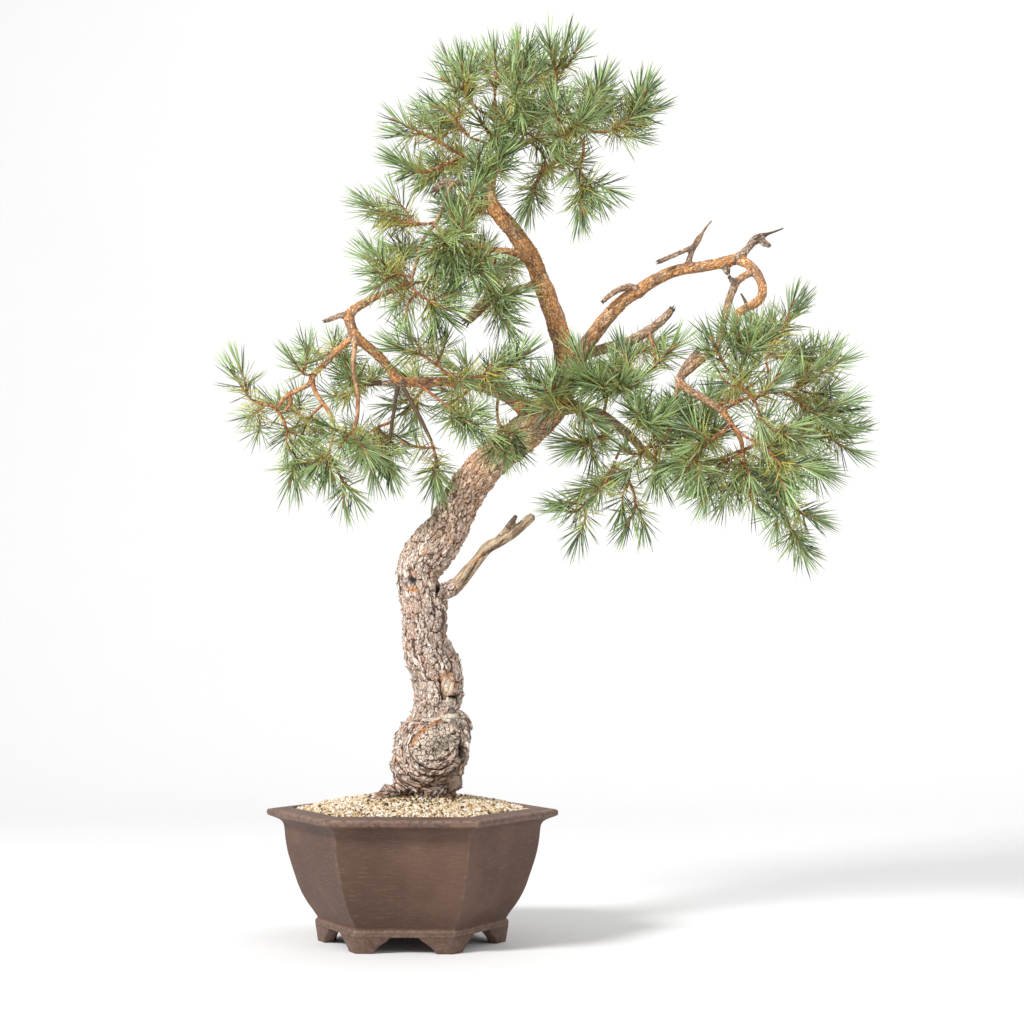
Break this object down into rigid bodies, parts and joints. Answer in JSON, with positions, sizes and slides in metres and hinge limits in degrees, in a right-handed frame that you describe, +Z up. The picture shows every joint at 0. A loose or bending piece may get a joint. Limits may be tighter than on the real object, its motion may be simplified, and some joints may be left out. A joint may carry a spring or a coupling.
{
  "type": "scots pine bonsai",
  "caption": "Tall leaning pine with a bare flaking trunk, crooked boughs and open tufts of needles, grown in gravel in a six-sided footed stoneware pot.",
  "frame": {"origin": "centre of the whole object's bounding box, on the ground under the pot's feet", "axes": "+Z up along the tree's height, +X towards the side that the trunk leans to, +Y away from the tree's front"},
  "size_m": [0.82, 0.3112, 1.114],
  "materials": {
    "pot": "matte unglazed brown stoneware with paler rubbed edges",
    "screen": "matte dark plastic mesh",
    "soil": "matte gravel of cream, ochre, brown and dark grains",
    "bark": "rough plated grey-brown bark, flaking to orange higher up",
    "needles": "satin blue-green to yellow-green needles with reddish-brown buds"
  },
  "bodies": {
    "root": {"pot": "pot", "drainage_screen": "screen", "soil": "soil", "tree": "bark", "needles_crown_left": "needles", "needles_crown_middle": "needles", "needles_crown_upper": "needles", "needles_crown_top": "needles", "needles_crown_face_top": "needles", "needles_crown_top_right": "needles", "needles_crown_face": "needles", "needles_crown_right": "needles", "needles_crown_far_right": "needles", "needles_crown_hang_right": "needles", "needles_crown_hang_left": "needles", "needles_crown_heart": "needles", "needles_crown_behind": "needles", "needles_crown_low_back": "needles", "needles_shelf_outer": "needles", "needles_shelf_left": "needles", "needles_shelf_low": "needles", "needles_shelf_face": "needles", "needles_shelf_front": "needles", "needles_shelf_inner": "needles", "needles_leader_low": "needles", "needles_shelf_back": "needles", "needles_shelf_tip": "needles", "needles_left_outer_spray": "needles", "needles_left_top": "needles", "needles_left_face": "needles", "needles_left_front": "needles", "needles_left_hang": "needles", "needles_left_fringe": "needles", "needles_left_behind": "needles", "needles_left_back": "needles", "needles_left_middle_spray": "needles", "needles_centre_top": "needles", "needles_centre_front": "needles", "needles_centre_hang": "needles", "needles_centre_low": "needles", "needles_centre_dark": "needles", "needles_centre_curve": "needles", "needles_centre_back": "needles", "needles_centre_back_left": "needles", "needles_broken_back": "needles", "needles_under_left": "needles", "needles_under_low": "needles", "needles_under_right": "needles", "needles_under_face": "needles", "needles_elbow_spray": "needles", "needles_right_hang": "needles", "needles_right_heart": "needles", "needles_right_upper": "needles", "needles_right_out": "needles", "needles_right_rise": "needles", "needles_loop_end": "needles", "needles_right_far": "needles", "needles_right_low": "needles", "needles_right_back": "needles", "needles_right_back_low": "needles"}
  },
  "joints": []
}
